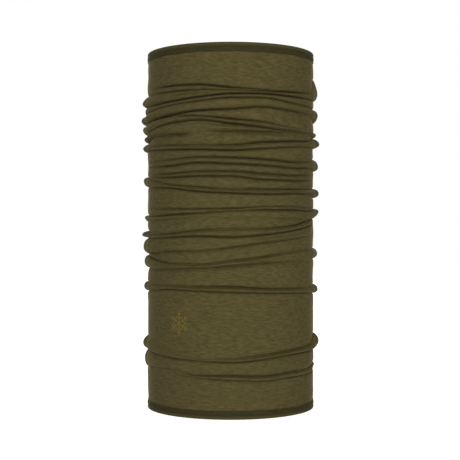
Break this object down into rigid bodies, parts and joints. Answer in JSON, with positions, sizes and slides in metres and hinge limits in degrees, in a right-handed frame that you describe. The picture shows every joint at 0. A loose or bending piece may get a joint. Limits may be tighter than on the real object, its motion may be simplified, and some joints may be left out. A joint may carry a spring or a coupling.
{
  "type": "neck gaiter",
  "caption": "Tube of light knitted wool for the neck, gathered into horizontal rolls, with a darker bound hem at each end and a small printed snow crystal.",
  "frame": {"origin": "centre of the tube in the plane the bottom hem rests on", "axes": "+Z along the tube towards the top opening, -Y towards the wearer's front, +X to the left hand of the wearer"},
  "size_m": [0.171, 0.171, 0.34],
  "materials": {
    "wool_jersey": "soft olive merino jersey, matt with a slight nap",
    "wool_binding": "darker olive knitted strip, matt",
    "sewing_thread": "spun polyester thread, slight sheen",
    "print_ink": "thin golden olive textile print, satin"
  },
  "bodies": {
    "root": {"knit_tube": "wool_jersey", "bottom_edge_binding": "wool_binding", "top_edge_binding": "wool_binding", "bottom_needle_thread": "sewing_thread", "bottom_looper_thread": "sewing_thread", "top_needle_thread": "sewing_thread", "top_looper_thread": "sewing_thread", "printed_mark": "print_ink"}
  },
  "joints": []
}
